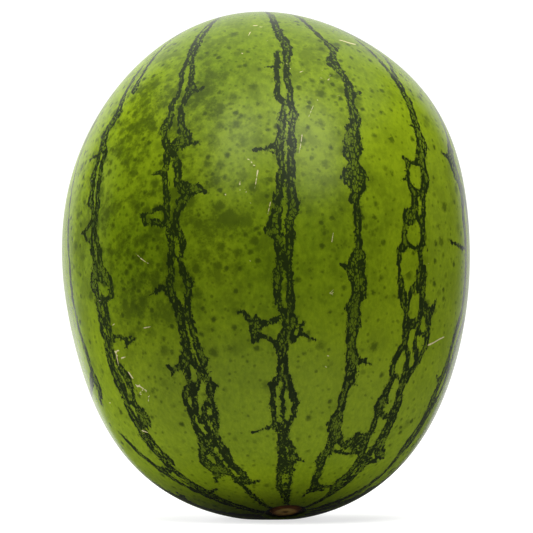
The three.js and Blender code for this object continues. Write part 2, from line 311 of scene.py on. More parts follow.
spurs = {
    "a": [
        (3, [(-31, -78), (-32.4, -81), (-33.4, -86), (-33.6, -92)], 2.6, 0.8),
        (3, [(-36, -78), (-38, -80.5)], 1.6, 0.4),
        (3, [(-59.4, -73), (-60.8, -70), (-60.4, -66)], 1.6, 1.6),
        (3, [(-66.5, -68.5), (-70.6, -66), (-71.4, -61), (-71.4, -56.5)], 1.6, 0.7),
        (3, [(-69.6, -71.6), (-72.6, -67)], 1.4, 1),
    ],
    "b": [
        (3, [(27.6, -53.4), (26, -50.4)], 1, 1.2),
        (3, [(26, -56), (26, -59.5)], 0.6, 0.5),
        (3, [(7.4, -54.6), (5.6, -57.5), (5.3, -61)], 1.4, 0.5),
        (4, [(5.2, -60), (3.2, -58.6), (1.6, -56)], 0.7, 0.9),
        (4, [(-8.6, -55), (-10, -53), (-10.4, -50.5)], 1.8, 1.4),
        (4, [(-15.4, -57.5), (-15.6, -54), (-15, -51)], 0.9, 1),
        (4, [(-20.4, -58.5), (-20.8, -55)], 0.9, 1),
        (4, [(-27, -57.4), (-25.6, -54.6), (-26, -52), (-27.4, -49.6), (-27.2, -47)], 1.1, 0.5),
        (5, [(-27.6, -49.6), (-28.8, -51), (-28, -46)], 0.8, 0.3),
    ],
    "c": [
        (3, [(37.6, -20), (37.4, -17.4), (38.6, -15.6)], 1.2, 0.3),
        (3, [(22.8, -20.4), (21.8, -18), (20.8, -16)], 1.3, 0.4),
        (3, [(21.6, -22.6), (20.8, -25.6)], 0.8, 0.8),
        (3, [(15.2, -26.6), (15, -29), (14.8, -31)], 0.9, 0.4),
        (3, [(8.4, -20.6), (8.2, -17.4), (7, -15)], 4, 1),
        (3, [(5, -26.6), (4.6, -30), (4, -33.4), (3.8, -35.4)], 1.1, 0.8),
        (4, [(3.6, -34.6), (2, -33.4), (1.2, -30.4), (0, -28)], 1.5, 1.6),
        (3, [(-16.6, -30), (-17.4, -33), (-17.8, -35.4)], 2, 0.6),
        (3, [(-37, -31), (-38.2, -33), (-38.4, -35.2), (-37, -37)], 1.6, 0.3),
        (4, [(-38.4, -35), (-39.8, -36.4)], 0.7, 0.3),
        (4, [(-37.2, -24), (-37.6, -21.4)], 1.6, 0.3),
        (4, [(-44.4, -23.4), (-45.2, -20.4)], 1.2, 0.3),
        (4, [(-47.8, -25.6), (-49, -28), (-50.4, -29.6), (-53, -31)], 1.1, 1.4),
        (4, [(-52, -30), (-53.4, -27)], 0.7, 1),
        (5, [(-56.6, -37), (-57.6, -34), (-57, -30)], 0.9, 1),
        (5, [(-60.2, -38), (-60, -34), (-60, -30)], 1, 1),
        (5, [(-63, -45), (-67.8, -43), (-68.8, -47), (-69.6, -51)], 2.4, 0.5),
        (5, [(-62.4, -43.5), (-65.6, -42), (-66.4, -38)], 2.2, 1.8),
        (5, [(-71, -33.6), (-73.4, -29), (-73.6, -24), (-73.4, -19)], 1.8, 0.4),
        (5, [(-62, -28.4), (-62, -26.2)], 1, 0.3),
        (5, [(-69.6, -29), (-70, -25.6)], 1, 0.3),
    ],
    "d": [
        (3, [(42.6, 8.4), (42.7, 5.4)], 0.7, 0.4),
        (3, [(31.4, 8.4), (30.8, 10.8)], 0.6, 0.6),
        (3, [(18.8, 6), (17.7, 3.4), (17.3, -1.4)], 1.1, 0.4),
        (3, [(16.4, 3.6), (15.6, 5.6)], 0.2, 0.8),
        (3, [(-4.6, 2), (-5.2, 0)], 1.5, 0.4),
        (3, [(-28.4, 4.2), (-29.8, 1), (-30.4, -2), (-31, -4)], 0.9, 1.6),
        (4, [(-29.4, -4.6), (-33.4, -5)], 2.8, 2.6),
        (5, [(-30.4, -5.4), (-28.4, -6.6), (-27, -8), (-26.6, -9.6)], 1.6, 0.6),
        (5, [(-33.4, -3.6), (-34.4, -1.4), (-36, 1.6)], 1.3, 0.7),
        (5, [(-33.6, -5.6), (-35.4, -6)], 1.4, 0.4),
        (3, [(-35.6, 5.6), (-34.8, 7.6), (-33.2, 9.4), (-31.6, 9.6), (-32.4, 8)], 1, 0.5),
        (4, [(-33.4, 9.6), (-34.4, 11), (-35.6, 14)], 0.7, 0.2),
        (4, [(-45.4, 0.6), (-44.6, 2.4)], 1.2, 1),
        (4, [(-46.4, -1.2), (-46.6, -2.8)], 0.6, 0.2),
        (4, [(-57.8, -1.4), (-58, -3.6), (-58.4, -6.4), (-59, -13)], 1.2, 0.2),
        (4, [(-67.2, 7.4), (-67.6, 10.4), (-68.6, 13.4)], 1.5, 0.3),
        (4, [(-79.4, -3), (-79, 2), (-78.6, 5.6)], 1, 1),
        (4, [(-75.4, -5), (-76.4, 0), (-75.6, 5)], 0.6, 0.6),
        (4, [(-72.6, -2.4), (-70.8, 1), (-71.2, 8.6)], 0.8, 0.4),
    ],
    "e": [
        (3, [(49.4, 32.6), (50, 35.4)], 1, 0.3),
        (3, [(43.4, 28.4), (43.2, 25.8)], 1.2, 0.3),
        (3, [(32.6, 31), (33.6, 33), (33.8, 34.8)], 1.2, 0.5),
        (4, [(33.4, 33.4), (36, 33.6)], 0.5, 0.3),
        (3, [(2.6, 25.8), (2, 23.6)], 0.7, 0.3),
        (3, [(9, 24), (8.4, 22.4)], 1, 0.3),
        (3, [(8, 29), (8, 31)], 1, 0.3),
        (3, [(-16.8, 24), (-15.8, 22.6), (-15.2, 20.8)], 1.3, 0.3),
        (3, [(-41.2, 29), (-40.8, 31.6), (-40, 33.2)], 1.1, 0.5),
        (4, [(-40.8, 32), (-41.6, 35.6)], 0.5, 0.2),
        (3, [(-46.4, 29), (-47, 31.4)], 1, 0.2),
        (3, [(-57.4, 24.4), (-57.8, 22)], 0.9, 0.3),
        (3, [(-60.4, 29.6), (-62.4, 32.6), (-63.4, 36), (-62.4, 38.2), (-60.6, 39.4), (-60, 42),
             (-59.6, 45.4)], 1.5, 1.5),
        (4, [(-65, 28), (-65.2, 34), (-65.2, 40), (-64.4, 46)], 0.6, 0.5),
        (5, [(-61, 39), (-63.4, 41), (-64.4, 44)], 1, 1),
        (5, [(-59.8, 40), (-62, 42.6), (-62, 46)], 0.9, 1.2),
        (3, [(-75.6, 30), (-76.4, 36), (-77.4, 40)], 1.8, 1),
        (3, [(-76, 38), (-76, 44), (-75.2, 50)], 0.7, 0.6),
        (4, [(-78.4, 34), (-77.6, 40), (-77.4, 46)], 0.8, 0.3),
        (4, [(-60, 41), (-59.2, 38)], 0.7, 0.3),
    ],
    "f": [
        (3, [(24.8, 51), (25, 49)], 0.9, 0.3),
        (3, [(20, 53.4), (19, 55.2)], 0.8, 0.3),
        (3, [(14.8, 49.6), (14.2, 47), (14.2, 45), (15.4, 43.4)], 1.2, 0.4),
        (3, [(9.6, 43.6), (9, 41.6)], 0.5, 0.3),
        (3, [(6.4, 45.6), (6.2, 49.4)], 1, 1.2),
        (4, [(3.6, 47.4), (1, 47.4)], 0.5, 0.5),
        (3, [(-0.6, 45), (-1, 49)], 1.6, 1.4),
        (3, [(-8.4, 43), (-9.2, 45.6), (-8.8, 48.6)], 0.9, 0.9),
        (4, [(-7, 49.6), (-8, 51), (-9.4, 51.4)], 0.7, 0.3),
        (5, [(-20, 48.4), (-21.6, 51)], 0.8, 0.8),
        (5, [(-26, 56.8), (-24, 57.6), (-22, 58.4)], 1.3, 0.4),
        (5, [(-29, 51), (-29.8, 49), (-29.4, 46.4)], 0.9, 1.1),
        (5, [(-31.4, 52.4), (-31.6, 57.4)], 1, 1),
        (5, [(-35.6, 47.4), (-36.4, 49.6)], 1.2, 1),
        (5, [(-36, 53), (-37.4, 56.4)], 1, 1),
        (5, [(-43.6, 45.6), (-43.8, 49)], 0.8, 1),
        (5, [(-49.6, 46), (-50.4, 48)], 1.2, 0.5),
        (5, [(-52.6, 46.4), (-54.2, 49.4), (-53.6, 52.6)], 1.3, 1.3),
        (5, [(-64.8, 49), (-64.6, 54)], 1.7, 1.7),
        (5, [(-60.6, 55), (-63, 58), (-64, 62)], 0.8, 1),
        (5, [(-66.6, 58), (-65.6, 61), (-65.2, 66)], 1.4, 0.5),
        (5, [(-72.4, 51), (-71.6, 57)], 2.4, 1),
    ],
    "g": [
        (3, [(19.6, 67.6), (19.2, 65), (19.4, 62.6)], 1.4, 0.4),
        (3, [(-4, 76), (-4.8, 71), (-4.8, 66), (-4.4, 62.6)], 1, 0.5),
        (3, [(-40.6, 76.4), (-41, 74), (-40.4, 72)], 1.3, 0.4),
        (3, [(-36.4, 78), (-37, 82)], 2.6, 2.6),
        (3, [(-45.8, 78), (-45.4, 82)], 2.2, 2),
        (3, [(-56, 80), (-57.6, 82)], 2, 2),
    ],
}

# Corky marks on the skin: latitude and longitude of their points, then the half width at both ends.
corkFineness = 0.5  # share of these half widths that is drawn
corkMarks = [
    ([(60.8, 2.4), (60.5, 6.6)], 0.7, 0.5),
    ([(59.8, 5.6), (59.5, 9), (59.6, 12)], 0.5, 0.3),
    ([(55.6, 0), (57.6, 1.2)], 0.4, 0.3),
    ([(53, 5.8), (52.8, 8)], 0.4, 0.3),
    ([(53.9, 39.4), (53.5, 42), (53, 44.2), (52.8, 46.8)], 0.8, 1.1),
    ([(48.6, -2.9), (48.3, -2.5)], 0.6, 0.6),
    ([(43.6, 12), (43.2, 13)], 0.5, 0.4),
    ([(42.2, 12.8), (41.6, 13.2)], 0.4, 0.4),
    ([(40.3, 15.6), (40.8, 17.2)], 0.5, 0.4),
    ([(40.8, 23.4), (41.1, 24.2)], 0.4, 0.4),
    ([(38.4, 22.2), (38.2, 23.2)], 0.5, 0.4),
    ([(37.7, 24.2), (37.9, 25.8)], 0.6, 0.5),
    ([(39.2, 25.8), (38.8, 26.6)], 0.4, 0.4),
    ([(38.1, 26.8), (37.9, 27.4)], 0.4, 0.4),
    ([(32.4, 25.8), (32.8, 27.2)], 0.3, 0.3),
    ([(31.4, 19.2), (31, 19.6)], 0.5, 0.5),
    ([(21.8, 13.2), (18, 12.2), (15.4, 11.4)], 0.3, 0.2),
    ([(30, 18), (26, 15.6)], 0.25, 0.2),
    ([(14.9, -2.9), (14.5, -2.2)], 0.5, 0.5),
    ([(13.9, -2), (13.7, -1.5)], 0.5, 0.5),
    ([(13.2, -1.7), (12.8, -1)], 0.5, 0.5),
    ([(11.6, -0.3), (10, -0.6)], 0.75, 0.6),
    ([(10, -0.6), (6, -1.6)], 0.45, 0.2),
    ([(8.9, -5.3), (7.9, -5.5)], 0.5, 0.4),
    ([(6.9, -5.4), (5.9, -5.6)], 0.5, 0.3),
    ([(5.7, -9.7), (5.4, -9.5)], 0.8, 0.8),
    ([(6.2, -3.6), (5, -4.2)], 0.3, 0.3),
    ([(2.7, -3.1), (2.4, -2.9)], 0.65, 0.65),
    ([(3, -4.7), (2.8, -4.5)], 0.35, 0.35),
    ([(1.8, -0.5), (1, -0.5)], 0.3, 0.3),
    ([(2.3, 2.5), (1.7, 2.2)], 0.6, 0.5),
    ([(1.4, 2.2), (-1.2, 1.4)], 0.35, 0.2),
    ([(-2.3, -1.1), (-2.5, -1)], 0.4, 0.4),
    ([(-3, -1.7), (-3.2, -1.6)], 0.5, 0.5),
    ([(-6, -38.2), (-8, -36.4), (-9.6, -34.4)], 0.3, 0.5),
    ([(-26, -41.6), (-26.2, -38.4)], 0.45, 0.4),
    ([(-13.2, -4.6), (-13.6, -4)], 0.4, 0.4),
    ([(-14.6, -4.2), (-15, -3.6)], 0.35, 0.35),
    ([(-21.8, 18.6), (-22.4, 19.6)], 0.35, 0.3),
    ([(-23, 18), (-23.6, 19.2)], 0.35, 0.3),
    ([(-39.6, 18.2), (-39.8, 19)], 0.4, 0.4),
    ([(-42.4, 17.8), (-42.8, 18.6)], 0.5, 0.4),
    ([(-6.2, 19.4), (-10, 18.6)], 0.3, 0.3),
    ([(-15, -57.2), (-14.9, -56)], 0.7, 0.5),
    ([(-22.6, -53.6), (-22.4, -52.6)], 0.5, 0.4),
    ([(-29.2, -56.8), (-29.4, -54.4)], 0.8, 0.6),
    ([(-30, -56.4), (-33, -57.4)], 0.7, 0.5),
    ([(-31.4, -55), (-31.6, -52.6)], 0.6, 0.4),
    ([(-35.2, -54), (-37.4, -53)], 0.8, 0.8),
    ([(-39, -53), (-40, -52.2), (-39.2, -51)], 0.8, 0.6),
    ([(-40, -51.2), (-41.6, -49.2)], 0.7, 0.6),
    ([(-41.4, -53.2), (-42, -52)], 0.5, 0.4),
    ([(-43, -50), (-42.8, -49)], 0.5, 0.4),
    ([(-44, -51), (-43.8, -50.4)], 0.4, 0.4),
    ([(-49.6, -62.8), (-50.6, -60.6)], 1, 0.7),
    ([(-39.6, -73), (-39.8, -72)], 0.7, 0.6),
    ([(-34, 59.4), (-33, 62), (-31.6, 65), (-30.3, 68.4)], 0.9, 0.6),
    ([(-12.8, 51.8), (-12.6, 52.6)], 0.4, 0.4),
]

# The stripes that the front doesn't show: their longitudes, and how freely they are drawn. Widths and
# lengths are in degrees where the fruit is widest.
unseenStripes = {
    "seed": 7,
    "longitudes": [103, 128, 153, 178, -155, -131, -101],
    "latitudeStep": 2.6,
    "wander": 1.3,
    "gap": 3.6,
    "leastGap": 0.5,
    "width": 1.9,
    "leastHalfWidth": 0.3,
    "spurChance": 0.16,
    "spurLength": 4.6,
    "spurHalfWidths": (1, 2.6),  # millimetres, at the foot
    "forkChance": 0.3,
    "twigHalfWidth": 0.9,
    "tipHalfWidth": 0.3,
    "linkChance": 0.3,
    "linkSlant": 2,
}
# How a seen stripe goes on past its first and its last point, up to these latitudes north and south.
stripeEnds = {
    "latitude": 85.0,
    "step": 3.0,
    "wander": 0.35,
    "halfWidth": 1.7,  # millimetres, which shrinks to a half at the end
}


# A wave along the fruit made of a few sines of 12 to 60 degrees of latitude, mostly within -1 to 1, for
# things that drift slowly.
def driftAlong(lat, rng, count=5):
    pitch = rng.uniform(12, 60, count)[:, None]
    start = rng.uniform(0, 360, count)[:, None]
    return np.sin(np.radians(360 * lat[None] / pitch + start)).sum(0) / count * 1.6


# A crooked spur that leaves a strand sideways: its points, latitude and longitude.
def crookedSpur(lat, lon, side, length, rng):
    tilt = rng.uniform(-1.6, 1.6)
    steps = np.array([0, 0.35, 0.7, 1.0])
    bend = np.concatenate([[0], rng.uniform(-0.7, 0.7, 3)])
    return [(lat + tilt * s + b, lon + side * length * s) for s, b in zip(steps, bend)]


# The spurs, their forks and the links of one unseen strand: layer, route, half width at both ends.
def inventTwigs(lat, lon, side, gap, widen, rng):
    choice = unseenStripes
    tip, thin = choice["tipHalfWidth"], choice["twigHalfWidth"]
    twigs = []
    for i in range(6, len(lat) - 4):
        chance = rng.random()
        if chance < choice["spurChance"]:
            length = choice["spurLength"] * rng.uniform(0.3, 1.15) * widen[i]
            route = crookedSpur(lat[i], lon[i], side, length, rng)
            twigs.append((3 if side < 0 else 4, route, rng.uniform(*choice["spurHalfWidths"]), tip))
            if rng.random() < choice["forkChance"]:
                twigs.append((5, crookedSpur(*route[1], side, length * 0.6, rng), thin, tip))
        elif chance < choice["spurChance"] + choice["linkChance"]:
            slant = rng.uniform(-choice["linkSlant"], choice["linkSlant"])
            twigs.append((5, [(lat[i], lon[i]), (lat[i] + slant, lon[i] - side * gap[i])], thin, thin))
    return twigs


# One unseen stripe: two strands whose gap opens and closes, with twigs on both sides and between.
def inventStripe(middle, rng):
    choice, end = unseenStripes, stripeEnds["latitude"]
    lat = np.arange(end, -end, -choice["latitudeStep"])
    towardsEnds = 1 / np.clip(np.cos(np.radians(lat)), 0.1, 1)
    widen = towardsEnds ** 0.7
    centre = middle + choice["wander"] * driftAlong(lat, rng) * widen
    gap = choice["gap"] * (0.4 + 0.75 * driftAlong(lat, rng))
    gap = np.clip(gap, choice["leastGap"], None) * towardsEnds ** 0.6
    made, twigs = [], []
    for side, layer in ((-1, 1), (1, 2)):
        half = choice["width"] * (0.55 + 0.32 * driftAlong(lat, rng)) * widen
        half = np.clip(half + rng.uniform(-0.3, 0.45, len(lat)), choice["leastHalfWidth"], None)
        at = centre + side * gap / 2
        made.append((layer, [(a, m - h, m + h) for a, m, h in zip(lat, at, half)]))
        twigs += inventTwigs(lat, at, side, gap, widen, rng)
    return made, twigs


# Points of a route on the skin, without the relief of the ends.
def onSkin(lat, lon):
    way = directions(np.asarray(lat, float), np.asarray(lon, float))
    return way * bodyRadius(way)[..., None]


# How points lie to one straight piece of a line from a to b: the line's half width beside them, and
# their distance from it, below 0 to the left. Past a free end the half width shrinks by the distance
# past it, and past a corner the distance is measured from the corner.
def besidePiece(there, a, b, halfA, halfB, freeStart, freeEnd):
    along = b - a
    length = np.linalg.norm(along)
    along = along / length
    outward = a / np.linalg.norm(a)
    middle = (a + b) / 2
    side = np.cross(middle / np.linalg.norm(middle), along)
    side /= np.linalg.norm(side)
    offset = there - a
    offset = offset - (offset @ outward)[:, None] * outward
    t = offset @ along
    past = np.maximum(-t if freeStart else 0 * t, t - length if freeEnd else 0 * t)
    past = np.clip(past, 0, None)
    square = offset @ side
    beyond = np.maximum(np.maximum(-t, t - length), 0) - past
    away = np.hypot(square, beyond) * np.where(square < 0, -1, 1)
    return halfA + (halfB - halfA) * np.clip(t / length, 0, 1) - past, away


# For each skin point, how deep it lies inside the left and the right edge of the nearest of these
# lines, half width + distance and half width - distance, and the smaller of both.
def edgeDepths(lines, deepest, farthest):
    best, left, right = (np.full(len(points), farthest) for i in range(3))
    for route, half in lines:
        last = len(route) - 2
        for i in range(last + 1):
            a, b = route[i], route[i + 1]
            reach = np.linalg.norm(b - a) / 2 + max(half[i], half[i + 1]) - farthest
            near = np.nonzero(((points - (a + b) / 2) ** 2).sum(1) < reach ** 2)[0]
            if not len(near):
                continue
            width, away = besidePiece(points[near], a, b, half[i], half[i + 1], i == 0, i == last)
            depth = width - np.abs(away)
            better = depth > best[near]
            at = near[better]
            best[at] = depth[better]
            left[at] = (width + away)[better]
            right[at] = (width - away)[better]
    return np.clip(left, farthest, deepest), np.clip(right, farthest, deepest), best


# A strand as a line with a half width: the middle of its edges, and half of what lies between them,
# times a share that makes it finer.
def asLine(strand, share=1.0):
    lat, west, east = np.array(strand, float).T
    route = onSkin(lat, (west + east) / 2)
    half = np.linalg.norm(onSkin(lat, east) - onSkin(lat, west), axis=1) / 2
    return route, half * share


def asThinLine(route, start, end):
    lat, lon = np.array(route, float).T
    return onSkin(lat, lon), np.linspace(start, end, len(route))


# What a seen strand does past its first or last point: a line from there to the latitude of the end.
def growToEnd(strand, endLatitude, rng):
    lat, west, east = strand[0 if endLatitude > 0 else -1]
    steps = np.arange(lat, endLatitude, math.copysign(stripeEnds["step"], endLatitude))
    steps = np.append(steps, endLatitude)
    drift = rng.normal(0, stripeEnds["wander"], len(steps)) / np.clip(np.cos(np.radians(steps)), 0.1, 1)
    drift[0] = 0
    lon = (west + east) / 2 + np.cumsum(drift)
    half = (east - west) / 2 * math.cos(math.radians(lat)) * math.radians(body["halfWidth"])
    way = (steps - lat) / (endLatitude - lat)
    half = half + (stripeEnds["halfWidth"] - half) * np.clip(3 * way, 0, 1)
    return onSkin(steps, lon), half * (1 - 0.5 * way)


# The lines of all stripes in their layers, from 1 to 5. Both growths of a stripe are drawn even where
# one is left out, so that leaving it out changes no other stripe.
def layOutStripes(rng):
    layers = {n: [] for n in range(1, 6)}
    twigs = [twig for stripe in spurs.values() for twig in stripe]
    for name, stripe in strands.items():
        for layer, strand in stripe:
            layers[layer].append(asLine(strand, fineStripes.get(name, 1.0)))
        layer, highest = max(stripe, key=lambda made: made[1][0][0])
        layers[layer].append(growToEnd(highest, stripeEnds["latitude"], rng))
        layer, lowest = min(stripe, key=lambda made: made[1][-1][0])
        grown = growToEnd(lowest, -stripeEnds["latitude"], rng)
        if name not in stopShort:
            layers[layer].append(grown)
    for middle in unseenStripes["longitudes"]:
        made, more = inventStripe(middle, rng)
        twigs += more
        for layer, strand in made:
            layers[layer].append(asLine(strand))
    for layer, route, start, end in twigs:
        layers[layer].append(asThinLine(route, start, end))
    return layers


rng = np.random.default_rng(unseenStripes["seed"])
layers = layOutStripes(rng)
print("lines in each layer", {n: len(lines) for n, lines in layers.items()})
depthReach = {"stripes": (7.0, -12.0), "cork": (2.0, -4.0)}  # deepest and farthest that is measured
depths = [edgeDepths(lines, *depthReach["stripes"]) for lines in layers.values()]
anyDepth = np.max([depth[2] for depth in depths], axis=0)
corkLines = [asThinLine(route, start * corkFineness, end * corkFineness) for route, start, end in corkMarks]
cork = edgeDepths(corkLines, *depthReach["cork"])
print("stripes measured")

# Soft patches on the skin: latitude, longitude, spread of both, amount. First where the blurred spots
# between the stripes are thick, then how pale the skin is painted there, both from 0 to 1. The paleness
# is partly the skin's own tone and partly painted light and shade: the all-round bands paler above and
# below the middle stand in for light from overhead and from the floor, the paler right flank for light
# from the right behind, the small pale patch at latitude 14, longitude 17 is a painted highlight of the
# right soft box, and the darker patches across the middle front are partly painted shade.
leastSpots = 0.10
spotPatches = [
    (20, -40, 26, 9, 1.0),
    (38, -16, 18, 12, 0.75),
    (10, -50, 22, 8, 0.4),
    (-2, -12, 20, 12, 0.75),
    (-18, -38, 14, 10, 0.45),
    (5, 17, 22, 8, 0.4),
    (0, 34, 30, 8, 0.28),
    (45, 22, 10, 12, 0.4),
    (5, 60, 30, 8, 0.25),
    (10, -64, 30, 8, 0.4),
]
plainTone = 0.3
toneAndPaintedLightPatches = [
    # painted light from overhead: paler all round above the middle
    (22, 0, 18, 500, 0.42),
    # painted light from the floor: paler all round low down
    (-58, 0, 22, 500, 0.35),
    # painted light from the right behind: a paler right flank
    (-10, 60, 30, 22, 0.40),
    # darker middle left: the skin's own darker tone where spots crowd, and partly painted shade
    (-4, -42, 20, 13, -0.50),
    # painted shade of the middle front
    (-6, 12, 12, 10, -0.15),
    # painted highlight of the right soft box
    (14, 17, 9, 6, 0.25),
    (38, -13, 12, 10, -0.28),
    (-38, 32, 14, 16, 0.2),
    (-27, -52, 20, 18, 0.42),
    (-8, -5, 16, 22, -0.1),
    (-14, -13, 7, 4, 0.3),
    (-75, -33, 5, 16, 0.5),
    (50, -60, 14, 14, 0.3),
]
# The thick spots on the side that the front doesn't show are drawn within these limits.
unseenPatches = {
    "count": 14,
    "latitudes": (-45, 55),
    "longitudes": (95, 265),
    "spread": (18, 9),
    "amounts": (0.2, 0.9),
}


def inventPatches(rng):
    choice = unseenPatches
    patches = []
    for i in range(choice["count"]):
        lat, lon = rng.uniform(*choice["latitudes"]), rng.uniform(*choice["longitudes"])
        patches.append((lat, lon, *choice["spread"], rng.uniform(*choice["amounts"])))
    return patches


# The start and, for each patch, amount exp(-((lat away / spread)^2 + (lon away / spread)^2) / 2).
def sumPatches(start, patches):
    total = np.full(len(points), start)
    for lat, lon, spreadLat, spreadLon, amount in patches:
        lonAway = (pointLon - lon + 180) % 360 - 180
        total += amount * np.exp(-0.5 * (((pointLat - lat) / spreadLat) ** 2 + (lonAway / spreadLon) ** 2))
    return total


spotAmount = np.clip(sumPatches(leastSpots, spotPatches + inventPatches(rng)), 0, 1)
# The skin's tone, with the painted light and shade of the tone patches.
skinToneAndPaintedLight = sumPatches(plainTone, toneAndPaintedLightPatches)

# For markings that are drawn out along the fruit: a place on a drum about the core in metres, radius
# 100 sqrt(cos(lat)) at the longitude, and along it 0.55 times the way from the middle to the latitude.
drum = {"radius": 100.0, "bodyReach": 130.0, "drawnOut": 0.55}
drumRadius = drum["radius"] * np.sqrt(np.clip(np.cos(np.radians(pointLat)), 0, 1))
alongDrum = drum["drawnOut"] * drum["bodyReach"] * np.radians(pointLat)
onDrum = [drumRadius * np.cos(np.radians(pointLon)), drumRadius * np.sin(np.radians(pointLon)), alongDrum]
flow = [part / 1000 for part in onDrum]

# Distance from the core at both ends, for the scar and the stub.
endsReach = 60
fromCore = np.minimum(np.linalg.norm(points - (points @ core)[:, None] * core, axis=1), endsReach)
fromScar = np.where(pointLat < 0, fromCore, endsReach)
fromStem = np.where(pointLat > 0, fromCore, endsReach)


# The fruit's mesh: quads between the rows and a fan at each pole. What reaches below the floor is drawn
# in towards the body's middle until it lies on the floor, which makes the flat spot. Gives the object,
# and where the body's middle is once the fruit stands on the floor with its box about the origin.
def makeFruit():
    rows, columns = len(rowLat), body["columns"]
    index = np.arange(rows * columns).reshape(rows, columns)
    nextColumn = np.roll(index, -1, axis=1)
    quads = np.stack([index[:-1], nextColumn[:-1], nextColumn[1:], index[1:]], -1).reshape(-1, 4)
    south, north = rows * columns, rows * columns + 1
    bottom = np.stack([np.full(columns, south), nextColumn[0], index[0]], -1)
    top = np.stack([np.full(columns, north), index[-1], nextColumn[-1]], -1)
    floor = -body["middleHeight"]
    height = points[:, 2]
    drawnIn = np.where(height < floor, floor / np.where(height < 0, height, -1), 1.0)
    placed = points * drawnIn[:, None]
    boxMiddle = (placed.min(0) + placed.max(0)) / 2
    origin = np.array([boxMiddle[0], boxMiddle[1], floor])
    mesh = bpy.data.meshes.new("watermelonSkin")
    faces = quads.tolist() + bottom.tolist() + top.tolist()
    mesh.from_pydata(((placed - origin) / 1000).tolist(), [], faces)
    mesh.update()
    mesh.shade_smooth()
    fruit = bpy.data.objects.new("watermelonSkin", mesh)
    bpy.context.collection.objects.link(fruit)
    return fruit, -origin


# The numbers that the rind's shader reads, three to an attribute. The stripes' are the left and right
# edge depths of each layer, then the nearest line's depth and the spots' amount.
stripeAttributes = ("strandsA", "strandsB", "strandsC", "strandsD")
stripeNumbers = [edge for depth in depths for edge in depth[:2]] + [anyDepth, spotAmount]


def storeVector(mesh, name, values):
    attribute = mesh.attributes.new(name, "FLOAT_VECTOR", "POINT")
    attribute.data.foreach_set("vector", np.stack(values, -1).astype(np.float32).ravel())


fruit, bodyMiddle = makeFruit()
skinMesh = fruit.data
for i, name in enumerate(stripeAttributes):
    storeVector(skinMesh, name, stripeNumbers[3 * i:3 * i + 3])
storeVector(skinMesh, "cork", cork)
# the ends' distances, and the skin's tone with its painted light and shade
storeVector(skinMesh, "ends", [fromScar, fromStem, skinToneAndPaintedLight])
storeVector(skinMesh, "flow", flow)
print("fruit triangles", 2 * len(skinMesh.polygons), "middle", bodyMiddle.round(2))

# Colours are linear, and sizes and depths are in millimetres.
rindLook = {
    "ior": 1.24,
    "roughness": 0.27,
    "poreSize": 1.1,
    "poreStrength": 0.10,
    "poreDepth": 0.4,
    "skinDeep": (0.078, 0.126, 0.0028),
    "skinPale": (0.172, 0.240, 0.0052),
    "blotchSize": 30,
    "blotchAmount": 0.55,
    "mottleSize": 2.4,
    "mottleAmount": 1.5,
    "spot": (0.026, 0.043, 0.002),
    # a spot's cell, its radius as a share of that, its strength, its amount where spots are fewest
    "spotKinds": [(9.4, 0.50, 0.80, 0.0), (5.6, 0.46, 0.90, 0.08), (3.3, 0.42, 0.60, 0.28)],
    "spotWobbleSize": 1.8,
    "spotWobble": 0.45,
    "cloudSize": 13,
    "cloudStrength": 0.85,
    "stripe": (0.0115, 0.0195, 0.0030),
    "stripeVeil": (0.046, 0.074, 0.004),
    "veil": 0.62,
    "webbing": 2.6,  # within which strands side by side grow together
    "webbingDepth": 1.2,  # how much deeper that makes a point than its nearest line does
    "edgeRagged": 3.8,
    "edgeRaggedSize": 2.8,
    "netCell": 1.45,
    "netCrooked": 2.0,
    "netCrookedSize": 2.6,
    "netDrawnOut": (1.0, 1.0, 0.75),
    "netSwell": (0.4, 1.75),
    "netSwellSize": 5.5,
    "netBlur": 0.10,
    # depth inside a stripe, half width of the net's lines as a share of a cell
    "netLines": [(-1.9, 0.0), (-1.1, 0.03), (-0.5, 0.06), (-0.1, 0.11), (0.4, 0.20), (0.9, 0.19),
                 (1.6, 0.15), (3.0, 0.13)],
    "strokeSize": 1.9,
    "strokeBlur": 0.07,
    "strokeDrawnOut": (1.0, 1.0, 0.5),
    # depth inside a stripe, share of the skin that the strokes cover, as a noise level
    "strokes": [(-1.9, 0.20), (-1.1, 0.38), (-0.5, 0.48), (-0.1, 0.55), (0.4, 0.60), (0.9, 0.56),
                (1.6, 0.49), (3.0, 0.46)],
    "mark": (0.52, 0.44, 0.24),
    "markWebbingDepth": 0.7,
    "markRagged": 0.7,
    "markRaggedSize": 1.3,
    # distance from the core, colour
    # The scar's near-black rings at 9.4 and 10.6 mm, and the darkening towards them from 8.4 mm, are painted
    # shade in the groove round the scar.
    "scar": [(0, (0.20, 0.11, 0.030)), (1.2, (0.34, 0.20, 0.050)), (2.2, (0.82, 0.53, 0.130)),
             (5.0, (0.70, 0.41, 0.090)), (6.5, (0.24, 0.092, 0.024)), (8.4, (0.085, 0.034, 0.013)),
             (9.4, (0.014, 0.011, 0.006)), (10.6, (0.020, 0.028, 0.008))],
    "scarReach": 10.8,
    "scarUneven": 2.2,
    "stem": [(0, (0.10, 0.06, 0.03)), (0.9, (0.30, 0.22, 0.11)), (3.2, (0.25, 0.18, 0.085)),
             (4.0, (0.12, 0.085, 0.035)), (4.8, (0.060, 0.048, 0.018)), (6.0, (0.13, 0.105, 0.030)),
             (9.0, (0.19, 0.17, 0.045)), (12, (0.16, 0.19, 0.030))],
    "stemReach": 11.0,
    "stemUneven": 1.4,
    "unevenSize": 2.6,
    "rampReach": 30.0,  # more than any distance in the lists of colours
}

rind = bpy.data.materials.new("rind")
rind.use_nodes = True
rind.node_tree.nodes.clear()


